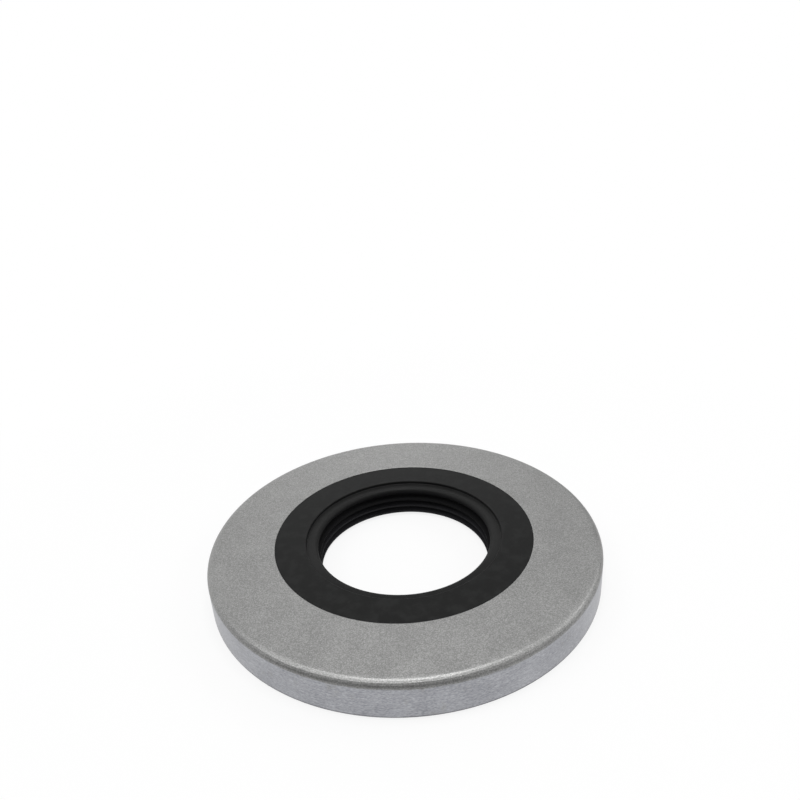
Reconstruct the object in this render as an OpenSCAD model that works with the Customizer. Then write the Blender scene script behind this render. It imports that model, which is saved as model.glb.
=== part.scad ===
// Shaft seal of a gimbal bearing: a pressed steel case, a rubber element with
// three lips bonded to the case's flange, and a coiled spring round the last lip.
// The seal lies on its open rim, face up. All sizes are in millimetres.

/* [Steel case] */
// Outside diameter of the ground wall
case_d = 85.7; // [76:0.1:104]
// Height from the rim to the face
case_h = 8; // [6.6:0.1:10]
// Thickness of the steel
steel_t = 1.4; // [1:0.05:1.7]
// Outside radius of the bend between face and wall
shoulder_r = 1.8; // [1.75:0.05:2.4]
// Depth that grinding takes off the wall
grind_depth = 0.08; // [0.04:0.01:0.15]
// Chamfer at the wall's open end
rim_chamfer = 0.35; // [0.1:0.05:0.5]

/* [Rubber face] */
// Width of the flat face outside its step
face_w = 6.9; // [5.5:0.1:8.5]
// Width of the lowered band between the lips and the step
band_w = 2.9; // [2.7:0.1:3.6]
// Height of the step down to the band
step_h = 0.8; // [0.5:0.05:0.95]
// Radius of the band's roll into the bore
roll_r = 0.9; // [0.5:0.05:1]
// Thickness of the rubber over the flange
skin_t = 0.9; // [0.6:0.05:1.2]
// Depth of the face below the steel
face_sink = 0.05; // [0.02:0.01:0.15]

/* [Lips] */
// Free diameter across the lips
lip_d = 37.4; // [30:0.1:44]
// Number of lips
lip_count = 3; // [2:1:4]
// Depth of the grooves between the lips
lip_depth = 1.3; // [1:0.05:1.6]
// Width of the land at a lip's edge
lip_land = 0.3; // [0.2:0.05:0.4]
// Depth of the first lip below the face
first_lip_depth = 3.7; // [3.4:0.1:4]
// Height of the last lip over the sleeve's end
last_lip_up = 0.65; // [0.5:0.05:0.8]
// Height of the sleeve's end over the rim
sleeve_clear = 0.25; // [0.1:0.05:0.5]
// Thickness of the sleeve behind the grooves
sleeve_t = 1.5; // [1.2:0.05:1.8]

/* [Spring] */
// Outside diameter of the spring's coil
coil_d = 1.9; // [1.5:0.05:2.2]
// Height of the spring over the last lip
spring_up = 0.7; // [0.6:0.05:0.9]

/* [Hidden] */

// Facets round a revolved piece and steps along a fillet
round_facets = 180;
fillet_steps = 6;
quarter = 90;

// Radii of the case and its flange
case_r = case_d / 2;
wall_r = case_r - steel_t;
lip_r = lip_d / 2;
step_r = lip_r + band_w;
face_r = step_r + face_w;
flange_grip_share = 0.85;
flange_hole_r = face_r - face_w * flange_grip_share;
flange_z = case_h - steel_t;

// The flange drops by the rubber's thickness at 45 degrees, so that the face lies flush
joggle_slope = 45;
joggle_w = skin_t / tan(joggle_slope);
joggle_shift = steel_t * tan(joggle_slope / 2);
joggle_fillet = skin_t / 3;
wall_fillet = shoulder_r - steel_t;
shoulder_centre_r = case_r + grind_depth - shoulder_r;
shoulder_start = acos((shoulder_r - grind_depth) / shoulder_r);

// The band rolls over into the mouth of the bore, above the first groove
face_z = case_h - face_sink;
band_z = case_h - step_h;
mouth_share = 0.3;
mouth_drop_share = 1.1;
groove_r = lip_r + lip_depth;
mouth_r = lip_r + lip_depth * mouth_share;
mouth_z = band_z - roll_r * mouth_drop_share;

// The lips stand at even heights between the first and the last
first_lip_z = case_h - first_lip_depth;
last_lip_z = sleeve_clear + last_lip_up;
lip_pitch = (first_lip_z - last_lip_z) / (lip_count - 1);
lip_base_share = 1.4;
lip_base = min(lip_pitch, lip_depth * lip_base_share);
flank_up_share = 0.46;
flank_down_share = 0.4;
end_share = 0.6;
groove_fillet = lip_land / 3;

// The spring lies in a round seat outside the last lip
coil_r = coil_d / 2;
seat_gap = 0.03;
spring_r = groove_r + sleeve_t / 2 + coil_r + seat_gap;
spring_z = last_lip_z + spring_up;
nose_grip_share = 0.3;
nose_r = spring_r + coil_r * nose_grip_share;
nose_top_z = spring_z + coil_r + seat_gap;
sleeve_r = groove_r + sleeve_t;

// The rubber wraps the flange's edge and ends as a thin skin behind it
back_skin_t = skin_t;
back_z = flange_z - skin_t - back_skin_t;
wrap_w_share = 0.5;
wrap_r = flange_hole_r + face_w * wrap_w_share;
rubber_fillet = back_skin_t / 2;

// A point on a circle, as radius and height
function on_circle(centre, radius, angle) = centre + radius * [cos(angle), sin(angle)];

// The points of an arc about a centre
function arc(centre, radius, start, end) =
    [for (i = [0:fillet_steps]) on_circle(centre, radius, start + (end - start) * i / fillet_steps)];

function unit(v) = v / norm(v);

// The turn from one angle to another, the short way round
function short_turn(start, end) =
    let (turn = end - start)
    turn > 2 * quarter ? turn - 4 * quarter : turn < -2 * quarter ? turn + 4 * quarter : turn;

// The arc that rounds a corner between the points before and after it
function corner_arc(before, corner, after, radius) =
    let (
        to_before = unit(before - corner),
        to_after = unit(after - corner),
        half = acos(to_before * to_after) / 2,
        centre = corner + unit(to_before + to_after) * radius / sin(half),
        first = corner + to_before * radius / tan(half) - centre,
        last = corner + to_after * radius / tan(half) - centre,
        start = atan2(first.y, first.x)
    )
    arc(centre, radius, start, start + short_turn(start, atan2(last.y, last.x)));

// An outline whose corners are [point, fillet radius]
function rounded(corners) =
    let (count = len(corners))
    [for (i = [0:count - 1])
        let (
            before = corners[(i + count - 1) % count][0],
            after = corners[(i + 1) % count][0]
        )
        each corners[i][1] > 0
            ? corner_arc(before, corners[i][0], after, corners[i][1])
            : [corners[i][0]]];

// Revolves an outline of radii and heights about the seal's axis
module turned(outline) {
    rotate_extrude($fn = round_facets) polygon(outline);
}

// Section of the case: rim, ground wall, shoulder, face, joggled flange
function shoulder_outline() =
    [for (p = arc([shoulder_centre_r, case_h - shoulder_r], shoulder_r, shoulder_start, quarter)) [p, 0]];

function case_outline() = rounded(concat(
    [
        [[wall_r, 0], 0],
        [[case_r - rim_chamfer, 0], 0],
        [[case_r, rim_chamfer], 0]
    ],
    shoulder_outline(),
    [
        [[face_r, case_h], joggle_fillet],
        [[face_r - joggle_w, case_h - skin_t], joggle_fillet],
        [[flange_hole_r, case_h - skin_t], 0],
        [[flange_hole_r, flange_z - skin_t], 0],
        [[face_r + joggle_shift - joggle_w, flange_z - skin_t], joggle_fillet],
        [[face_r + joggle_shift, flange_z], joggle_fillet],
        [[wall_r, flange_z], wall_fillet]
    ]
));

// One lip, as a triangle with a narrow land at its edge, and the groove below it
function lip_corners(z) = [
    [[groove_r, z + lip_base * flank_up_share], groove_fillet],
    [[lip_r, z + lip_land / 2], 0],
    [[lip_r, z - lip_land / 2], 0]
];

function groove_corner(z) = [[groove_r, z - lip_base * flank_down_share], groove_fillet];

// The last lip's lower flank ends on the sleeve's end
function all_lips() = [for (i = [0:lip_count - 1])
    let (z = first_lip_z - lip_pitch * i)
    each concat(lip_corners(z), i < lip_count - 1 ? [groove_corner(z)] : [])];

// Section of the rubber before the flange and the spring's seat are taken out of it
function rubber_outline() = rounded(concat(
    [
        [[face_r, flange_z], 0],
        [[face_r, face_z], 0],
        [[step_r, face_z], step_h / 4],
        [[step_r, band_z], step_h / 4],
        [[mouth_r, band_z], roll_r],
        [[mouth_r, mouth_z], 0]
    ],
    all_lips(),
    [
        [[lip_r + lip_depth * end_share, sleeve_clear], groove_fillet],
        [[nose_r, sleeve_clear], groove_fillet],
        [[nose_r, nose_top_z], groove_fillet],
        [[sleeve_r, nose_top_z + sleeve_t / 4], groove_fillet],
        [[sleeve_r, back_z], rubber_fillet],
        [[wrap_r, back_z], rubber_fillet],
        [[wrap_r + back_skin_t / 2, flange_z - skin_t], 0],
        [[wrap_r + back_skin_t / 2, flange_z], 0]
    ]
));

module case_body() {
    turned(case_outline());
}

module spring_seat() {
    rotate_extrude($fn = round_facets)
        translate([spring_r, spring_z])
        circle(r = coil_r + seat_gap, $fn = round_facets / 4);
}

module outer_case() {
    color("darkgray") case_body();
}

module lip_element() {
    color("#2b2b2b")
    difference() {
        turned(rubber_outline());
        case_body();
        spring_seat();
    }
}

module garter_spring() {
    color("silver")
    rotate_extrude($fn = round_facets)
        translate([spring_r, spring_z])
        circle(r = coil_r, $fn = round_facets / 4);
}

outer_case();
lip_element();
garter_spring();
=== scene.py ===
import math
import bpy
from mathutils import Matrix, Vector


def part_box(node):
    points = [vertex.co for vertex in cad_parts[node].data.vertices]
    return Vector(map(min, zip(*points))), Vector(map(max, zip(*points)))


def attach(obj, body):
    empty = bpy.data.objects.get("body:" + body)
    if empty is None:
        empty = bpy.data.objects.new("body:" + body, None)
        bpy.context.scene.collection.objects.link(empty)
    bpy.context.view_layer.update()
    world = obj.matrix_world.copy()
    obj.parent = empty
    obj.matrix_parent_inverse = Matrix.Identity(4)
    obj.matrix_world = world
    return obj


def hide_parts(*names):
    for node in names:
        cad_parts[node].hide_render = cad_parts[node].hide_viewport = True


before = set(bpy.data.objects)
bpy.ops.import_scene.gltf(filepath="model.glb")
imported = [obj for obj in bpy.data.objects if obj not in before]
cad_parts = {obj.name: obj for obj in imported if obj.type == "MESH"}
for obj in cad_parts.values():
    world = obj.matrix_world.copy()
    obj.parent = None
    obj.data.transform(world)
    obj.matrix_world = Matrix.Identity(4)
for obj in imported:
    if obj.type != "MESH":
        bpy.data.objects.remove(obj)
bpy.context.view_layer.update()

print("seal: solids loaded")

mm = 0.001


class Wire:
    # one output of a node; sums and products of wires add their own Math nodes
    def __init__(self, graph, socket):
        self.graph = graph
        self.socket = socket

    def maths(self, operation, first, second):
        return self.graph.node("ShaderNodeMath", {"operation": operation}, {0: first, 1: second})

    def __add__(self, other):
        return self.maths("ADD", self, other)

    def __radd__(self, other):
        return self.maths("ADD", other, self)

    def __sub__(self, other):
        return self.maths("SUBTRACT", self, other)

    def __rsub__(self, other):
        return self.maths("SUBTRACT", other, self)

    def __mul__(self, other):
        return self.maths("MULTIPLY", self, other)

    def __rmul__(self, other):
        return self.maths("MULTIPLY", other, self)


class Graph:
    # the nodes of one material or of the world
    def __init__(self, owner):
        owner.use_nodes = True
        self.tree = owner.node_tree
        self.tree.nodes.clear()

    def node(self, kind, settings=None, sockets=None, out=0):
        made = self.tree.nodes.new(kind)
        for key, value in (settings or {}).items():
            setattr(made, key, value)
        for key, value in (sockets or {}).items():
            target = made.inputs[key]
            if isinstance(value, Wire):
                self.tree.links.new(value.socket, target)
            else:
                target.default_value = value
        return Wire(self, made.outputs[out])

    def place(self):
        return self.node("ShaderNodeTexCoord", out="Object")

    def axisOf(self, vector, axis):
        return self.node("ShaderNodeSeparateXYZ", {}, {0: vector}, out=axis)

    def stretched(self, place, x, y, z):
        sockets = {0: place, 1: (x, y, z)}
        return self.node("ShaderNodeVectorMath", {"operation": "MULTIPLY"}, sockets)

    # distance from the seal's axis
    def radiusOf(self, place):
        sockets = {0: self.stretched(place, 1, 1, 0)}
        return self.node("ShaderNodeVectorMath", {"operation": "LENGTH"}, sockets, out="Value")

    # noise whose grains are about size metres wide
    def grain(self, place, size, detail=2.0, rough=0.5):
        sockets = {"Vector": place, "Scale": 1 / size, "Detail": detail, "Roughness": rough}
        return self.node("ShaderNodeTexNoise", {}, sockets)

    # 0 up to start and 1 from full on, smooth between them; full may be the smaller one
    def between(self, value, start, full):
        sockets = {"Value": value, "From Min": start, "From Max": full, "To Min": 0.0, "To Max": 1.0}
        return self.node("ShaderNodeMapRange", {"interpolation_type": "SMOOTHSTEP"}, sockets)

    def blend(self, factor, first, second):
        sockets = {0: factor, 6: first, 7: second}
        return self.node("ShaderNodeMix", {"data_type": "RGBA"}, sockets, out=2)

    def mixShaders(self, factor, first, second):
        return self.node("ShaderNodeMixShader", {}, {0: factor, 1: first, 2: second})

    def finish(self, shader, kind="ShaderNodeOutputMaterial"):
        output = self.tree.nodes.new(kind)
        self.tree.links.new(shader.socket, output.inputs["Surface"])


def newMaterial(name):
    material = bpy.data.materials.new(name)
    return material, Graph(material)


def shade(red, green, blue):
    return (red, green, blue, 1.0)


def grey(tone):
    return shade(tone, tone, tone)


# the seal's own sizes, read from the solids
seal = {
    "wallRadius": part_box("outer_case")[1][0],
    "height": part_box("outer_case")[1][2],
}


# steel; a grain is size, detail and roughness, and a range runs from none to full
steel = {
    "blasted": shade(0.302, 0.302, 0.298),
    "blastedDark": shade(0.232, 0.233, 0.229),
    "blastedPale": shade(0.378, 0.378, 0.373),
    "blastedRange": (0.38, 0.545),
    "blastedPaleRange": (0.53, 0.69),
    "blastedRough": 0.46,
    "blastedRoughSpread": 0.12,
    "pits": (0.22 * mm, 1.0),
    "pitShare": 0.76,
    "dents": (0.88 * mm, 2.0),
    "dentShare": 0.14,
    "dentRelief": 0.8,
    "clouds": (6 * mm, 3.0, 0.55),
    "cloudShare": 0.16,
    "pitDepth": 0.028,  # in mm, as the lines' depth is
    "ground": shade(0.335, 0.340, 0.364),
    "groundDark": shade(0.238, 0.243, 0.264),
    "groundPale": shade(0.462, 0.468, 0.492),
    "groundRange": (0.36, 0.51),
    "groundPaleRange": (0.49, 0.64),
    "groundRough": 0.36,
    "groundRoughSpread": 0.16,
    "marks": (0.16 * mm, 2.0, 0.6),
    "markStretch": 0.3,
    "markShare": 0.6,
    "markRelief": 0.6,
    "lines": (0.24 * mm, 2.0, 0.6),
    "lineStretch": 0.04,
    "lineShare": 0.25,
    "lineRelief": 0.4,
    "groundCloudShare": 0.15,
    "lineDepth": 0.008,
    "grindStart": 0.06 * mm,
    "grindFull": 0.02 * mm,
    "runOut": (2.2 * mm, 2.0),
    "runOutReach": 0.12 * mm,
    # painted shade at the wall's foot, next to the floor
    "rimPaintedShade": shade(0.16, 0.162, 0.17),
    "rimShadeRange": (0.66 * mm, 0.51 * mm),
    "rimShadeShare": 0.8,
    "metallic": 0.9,
}


def caseSteel():
    material, g = newMaterial("case_steel")
    place = g.place()
    # the wheel ran out unevenly at the shoulder, and it never touched the rim's chamfer; the chamfer
    # and a band above it, at the wall's foot by the floor, are darkened with painted shade
    uneven = (g.grain(place, *steel["runOut"]) - 0.5) * steel["runOutReach"]
    reach = g.radiusOf(place) + uneven
    wall = seal["wallRadius"]
    isGround = g.between(reach, wall - steel["grindStart"], wall - steel["grindFull"])
    rimShade = g.between(g.axisOf(place, "Z"), *steel["rimShadeRange"])

    # shot blasting leaves fine pits and faint clouds
    pits = g.grain(place, *steel["pits"])
    dents = g.grain(place, *steel["dents"])
    clouds = g.grain(place, *steel["clouds"])
    tone = pits * steel["pitShare"] + dents * steel["dentShare"] + clouds * steel["cloudShare"]
    blasted = g.blend(g.between(tone, *steel["blastedRange"]), steel["blastedDark"], steel["blasted"])
    blasted = g.blend(g.between(tone, *steel["blastedPaleRange"]), blasted, steel["blastedPale"])

    # grinding leaves short marks that run round the wall
    short = steel["markStretch"]
    long = steel["lineStretch"]
    marks = g.grain(g.stretched(place, short, short, 1), *steel["marks"])
    lines = g.grain(g.stretched(place, long, long, 1), *steel["lines"])
    tone = marks * steel["markShare"] + lines * steel["lineShare"] + clouds * steel["groundCloudShare"]
    ground = g.blend(g.between(tone, *steel["groundRange"]), steel["groundDark"], steel["ground"])
    ground = g.blend(g.between(tone, *steel["groundPaleRange"]), ground, steel["groundPale"])

    colour = g.blend(isGround, blasted, ground)
    # the wall's foot is darkened with painted shade
    colour = g.blend(rimShade * steel["rimShadeShare"], colour, steel["rimPaintedShade"])
    blastedRough = steel["blastedRough"] + (clouds - 0.5) * steel["blastedRoughSpread"]
    groundRough = steel["groundRough"] + (marks - 0.5) * steel["groundRoughSpread"]
    rough = blastedRough * (1 - isGround) + groundRough * isGround
    relief = (pits + dents * steel["dentRelief"]) * (1 - isGround) * steel["pitDepth"]
    grooves = marks * steel["markRelief"] + lines * steel["lineRelief"]
    relief = relief + grooves * isGround * steel["lineDepth"]
    normal = g.node("ShaderNodeBump", {}, {"Strength": 1.0, "Distance": mm, "Height": relief})
    g.finish(g.node("ShaderNodeBsdfPrincipled", {}, {
        "Base Color": colour,
        "Metallic": steel["metallic"],
        "Roughness": rough,
        "Normal": normal,
    }))
    return material


# rubber; the ranges are radii, heights and the way across, from none to full
rubber = {
    "face": shade(0.0004, 0.0006, 0.0005),
    "dusty": shade(0.0078, 0.0082, 0.0080),
    "dustyRange": (0.42, 0.66),
    "smears": (2.6 * mm, 4.0, 0.6),
    "smearStretch": 0.4,
    "smearShare": 0.85,
    "skin": (0.18 * mm, 3.0, 0.6),
    "skinShare": 0.15,
    "skinDepth": 0.006 * mm,
    "faceRough": 0.55,
    "smearRough": 0.3,
    "skinRough": 0.1,
    "faceGloss": 0.175,
    # painted light on the lowered band and its corner, stronger on the far side
    "bandPaintedLight": shade(0.0088, 0.009, 0.0089),
    "bandLightRange": (21.9 * mm, 21.5 * mm),
    "farLightRange": (-16 * mm, -6 * mm),
    "bandLightLeast": 0.55,
    "bandLightSpread": 0.6,
    "bore": shade(0.0048, 0.0048, 0.0052),
    "boreRough": 0.85,
    # the bore's gloss is turned down as painted shade of the hole
    "boreGloss": 0.10,
    "boreRange": (20.6 * mm, 20.2 * mm),
    "deepRange": (6.9 * mm, 6.3 * mm),
    # painted light on the lower lips, for light thrown up from the floor
    "lowerLipPaintedLight": shade(0.018, 0.018, 0.020),
    "lowerLightRange": (4.4 * mm, 2.2 * mm),
    "lowerLightWaver": 1 * mm,
}


def sealRubber():
    material, g = newMaterial("seal_rubber")
    place = g.place()
    radius = g.radiusOf(place)
    height = g.axisOf(place, "Z")
    skin = g.grain(place, *rubber["skin"])
    smears = g.grain(g.stretched(place, 1, 1, rubber["smearStretch"]), *rubber["smears"])
    tone = smears * rubber["smearShare"] + skin * rubber["skinShare"]
    colour = g.blend(g.between(tone, *rubber["dustyRange"]), rubber["face"], rubber["dusty"])

    # painted light lifts the lowered band and its corner out of their shade, more on the far side that
    # faces the light, mottled with the smears
    bandLight = g.between(radius, *rubber["bandLightRange"])
    bandLight = bandLight * g.between(g.axisOf(place, "Y"), *rubber["farLightRange"])
    mottledBandLight = rubber["bandLightLeast"] + smears * rubber["bandLightSpread"]
    colour = g.blend(bandLight * mottledBandLight, colour, rubber["bandPaintedLight"])
    rough = rubber["faceRough"] + (smears - 0.5) * rubber["smearRough"]
    rough = rough + (skin - 0.5) * rubber["skinRough"]
    bump = {"Strength": 1.0, "Distance": rubber["skinDepth"], "Height": skin}
    dry = g.node("ShaderNodeBsdfPrincipled", {}, {
        "Base Color": colour,
        "Roughness": rough,
        "Specular IOR Level": rubber["faceGloss"],
        "Normal": g.node("ShaderNodeBump", {}, bump),
    })

    # the bore is dull, its gloss turned down as painted shade of the hole, and its lower lips are
    # painted lighter, standing in for light thrown up from the floor below
    lowerLipLight = g.between(height + (smears - 0.5) * rubber["lowerLightWaver"], *rubber["lowerLightRange"])
    shadedBore = g.node("ShaderNodeBsdfPrincipled", {}, {
        "Base Color": g.blend(lowerLipLight, rubber["bore"], rubber["lowerLipPaintedLight"]),
        "Roughness": rubber["boreRough"],
        "Specular IOR Level": rubber["boreGloss"],
    })
    # painted shade: the dimmed bore shader takes over inside the hole
    inside = g.between(radius, *rubber["boreRange"])
    deep = g.between(height, *rubber["deepRange"])
    g.finish(g.mixShaders(inside * deep, dry, shadedBore))
    return material


# garter spring
coil = {
    "wire": 0.45 * mm,
    "turns": 286,
    "stepsPerTurn": 12,
    "wireSides": 6,
    "bright": shade(0.55, 0.55, 0.54),
    "dull": shade(0.40, 0.40, 0.39),
    "brightRange": (0.35, 0.65),
    "drawn": (0.15 * mm, 2.0),
    "oil": (3 * mm, 3.0),
    "oilShare": 0.5,
    "rough": 0.32,
    "roughSpread": 0.2,
    "metallic": 0.95,
}


def springWire():
    material, g = newMaterial("spring_wire")
    place = g.place()
    drawn = g.grain(place, *coil["drawn"])
    oil = g.grain(place, *coil["oil"])
    tone = drawn * (1 - coil["oilShare"]) + oil * coil["oilShare"]
    g.finish(g.node("ShaderNodeBsdfPrincipled", {}, {
        "Base Color": g.blend(g.between(tone, *coil["brightRange"]), coil["dull"], coil["bright"]),
        "Metallic": coil["metallic"],
        "Roughness": coil["rough"] + (oil - 0.5) * coil["roughSpread"],
    }))
    return material


# the wire's centre line runs round the ring in close turns
def windSpring():
    low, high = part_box("garter_spring")
    tubeRadius = (high[2] - low[2]) / 2
    ringRadius = high[0] - tubeRadius
    middle = (high[2] + low[2]) / 2
    helixRadius = tubeRadius - coil["wire"] / 2
    steps = coil["turns"] * coil["stepsPerTurn"]

    def onRing(around, reach, height):
        return Vector((reach * math.cos(around), reach * math.sin(around), height))

    def centre(step):
        around = 2 * math.pi * step / steps
        turn = around * coil["turns"]
        reach = ringRadius + helixRadius * math.cos(turn)
        return onRing(around, reach, middle + helixRadius * math.sin(turn))

    points = []
    faces = []
    for step in range(steps):
        here = centre(step)
        along = (centre(step + 1) - centre(step - 1)).normalized()
        hub = onRing(2 * math.pi * step / steps, ringRadius, middle)
        outward = (here - hub).normalized()
        sideways = along.cross(outward).normalized()
        ring = step * coil["wireSides"]
        nextRing = (step + 1) % steps * coil["wireSides"]
        for side in range(coil["wireSides"]):
            angle = 2 * math.pi * side / coil["wireSides"]
            toward = outward * math.cos(angle) + sideways * math.sin(angle)
            points.append(here + toward * coil["wire"] / 2)
            nextSide = (side + 1) % coil["wireSides"]
            faces.append((ring + side, ring + nextSide, nextRing + nextSide, nextRing + side))
    mesh = bpy.data.meshes.new("garter_coil")
    mesh.from_pydata(points, [], faces)
    mesh.shade_smooth()
    mesh.materials.append(springWire())
    wound = bpy.data.objects.new("garter_coil", mesh)
    bpy.context.collection.objects.link(wound)
    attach(wound, "root")
    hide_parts("garter_spring")


def dress(node, material):
    mesh = bpy.data.objects[node].data
    mesh.materials.clear()
    mesh.materials.append(material)


dress("outer_case", caseSteel())
dress("lip_element", sealRubber())
print("seal: steel and rubber done")
windSpring()
print("seal: spring wound")


# white to the camera and in reflections, a plain surface to the light
def seenDirectly(graph):
    camera = graph.node("ShaderNodeLightPath", out="Is Camera Ray")
    glossy = graph.node("ShaderNodeLightPath", out="Is Glossy Ray")
    through = graph.node("ShaderNodeLightPath", out="Is Transmission Ray")
    return camera.maths("MAXIMUM", camera.maths("MAXIMUM", camera, glossy), through)


# floor
paper = {
    "size": 6.0,
    "tone": 0.86,
    "glow": 1.0,
    "lift": 0.84,
    "shadowReach": 0.16,
}


def layFloor():
    half = paper["size"] / 2
    corners = [(-half, -half, 0), (half, -half, 0), (half, half, 0), (-half, half, 0)]
    mesh = bpy.data.meshes.new("floor")
    mesh.from_pydata(corners, [], [(0, 1, 2, 3)])
    floor = bpy.data.objects.new("floor", mesh)
    bpy.context.collection.objects.link(floor)
    material, g = newMaterial("floor")
    plain = g.node("ShaderNodeBsdfDiffuse", {}, {"Color": grey(paper["tone"])})
    white = g.node("ShaderNodeEmission", {}, {"Color": grey(1), "Strength": paper["glow"]})
    # the shadow shows near the seal only
    away = g.between(g.radiusOf(g.place()), paper["shadowReach"] / 2, paper["shadowReach"])
    lift = paper["lift"] + away * (1 - paper["lift"])
    g.finish(g.mixShaders(seenDirectly(g) * lift, plain, white))
    mesh.materials.append(material)


# backdrop; toward is a direction, and the ranges are shares of it, from none to full
sky = {
    "forLight": 0.55,
    "ceiling": 0.67,
    "ceilingRange": (0.46, 0.64),
    "room": 0.125,
    "roomToward": (-0.3, -0.95, 0),
    "roomRange": (0.08, 0.6),
    "roomTop": (0.60, 0.85),
    "side": 0.4,
    "sideRange": (0.22, 0.5),
    "sideTop": (0.3, 0.6),
}


# white to the camera; the metal sees a bright sweep behind the seal and a dark room in front
def paintSky():
    world = bpy.data.worlds.new("sky")
    bpy.context.scene.world = world
    g = Graph(world)

    def plain(tone):
        return g.node("ShaderNodeBackground", {}, {"Color": grey(tone), "Strength": 1.0})

    glossy = g.node("ShaderNodeLightPath", out="Is Glossy Ray")
    toward = g.node("ShaderNodeTexCoord", out="Generated")
    up = g.axisOf(toward, "Z")
    seen = g.mixShaders(glossy * g.between(up, *sky["ceilingRange"]), plain(1), plain(sky["ceiling"]))

    sockets = {0: toward, 1: sky["roomToward"]}
    ahead = g.node("ShaderNodeVectorMath", {"operation": "DOT_PRODUCT"}, sockets, out="Value")
    inRoom = (1 - g.between(up, *sky["roomTop"])) * g.between(ahead, *sky["roomRange"])
    seen = g.mixShaders(glossy * inRoom, seen, plain(sky["room"]))

    # nothing bright stands to the right, so the shoulder has no line of light there
    aside = g.between(g.axisOf(toward, "X"), *sky["sideRange"])
    aside = aside * (1 - g.between(up, *sky["sideTop"]))
    seen = g.mixShaders(glossy * aside, seen, plain(sky["side"]))
    seen = g.mixShaders(seenDirectly(g), plain(sky["forLight"]), seen)
    g.finish(seen, "ShaderNodeOutputWorld")


# lamps, in metres and watts
lamps = [
    {"name": "top_softbox", "at": (0.01, -0.02, 0.55), "wide": 0.30, "deep": 0.18, "power": 1.3},
    {"name": "left_softbox", "at": (-0.42, -0.04, 0.60), "wide": 0.26, "deep": 0.26, "power": 0.72},
    {"name": "right_softbox", "at": (0.58, 0.10, 0.40), "wide": 0.30, "deep": 0.30, "power": 0.75},
    {"name": "back_softbox", "at": (-0.03, 0.62, 0.34), "wide": 0.20, "deep": 0.12, "power": 0.11},
]


def hangLamps():
    for lamp in lamps:
        light = bpy.data.lights.new(lamp["name"], "AREA")
        light.shape = "RECTANGLE"
        light.size = lamp["wide"]
        light.size_y = lamp["deep"]
        light.energy = lamp["power"]
        hung = bpy.data.objects.new(lamp["name"], light)
        bpy.context.collection.objects.link(hung)
        hung.location = lamp["at"]
        hung.rotation_euler = (-Vector(lamp["at"])).to_track_quat("-Z", "Y").to_euler()


# camera, fitted to the outlines in the photograph; angles in degrees
view = {
    "focalPixels": 697.0,
    "imagePixels": 800,
    "sensor": 36.0,
    "nearest": 10 * mm,
    "distance": 157.7 * mm,
    "elevation": 35.56,
    "yaw": -0.45,
    "pitch": 10.74,
    "roll": -3.90,
}


def setCamera():
    data = bpy.data.cameras.new("camera")
    data.sensor_width = view["sensor"]
    data.lens = view["focalPixels"] * view["sensor"] / view["imagePixels"]
    data.clip_start = view["nearest"]
    camera = bpy.data.objects.new("camera", data)
    bpy.context.collection.objects.link(camera)
    rise = math.radians(view["elevation"])
    away = Vector((0, -math.cos(rise), math.sin(rise))) * view["distance"]
    turn = Matrix.Rotation(math.pi / 2 - rise, 4, "X")
    turn = turn @ Matrix.Rotation(math.radians(view["yaw"]), 4, "Y")
    turn = turn @ Matrix.Rotation(math.radians(view["pitch"]), 4, "X")
    turn = turn @ Matrix.Rotation(math.radians(view["roll"]), 4, "Z")
    camera.matrix_world = Matrix.Translation(Vector((0, 0, seal["height"])) + away) @ turn
    bpy.context.scene.camera = camera
    bpy.context.scene.view_settings.view_transform = "Standard"


layFloor()
paintSky()
hangLamps()
setCamera()
print("seal: floor, lamps and camera set")
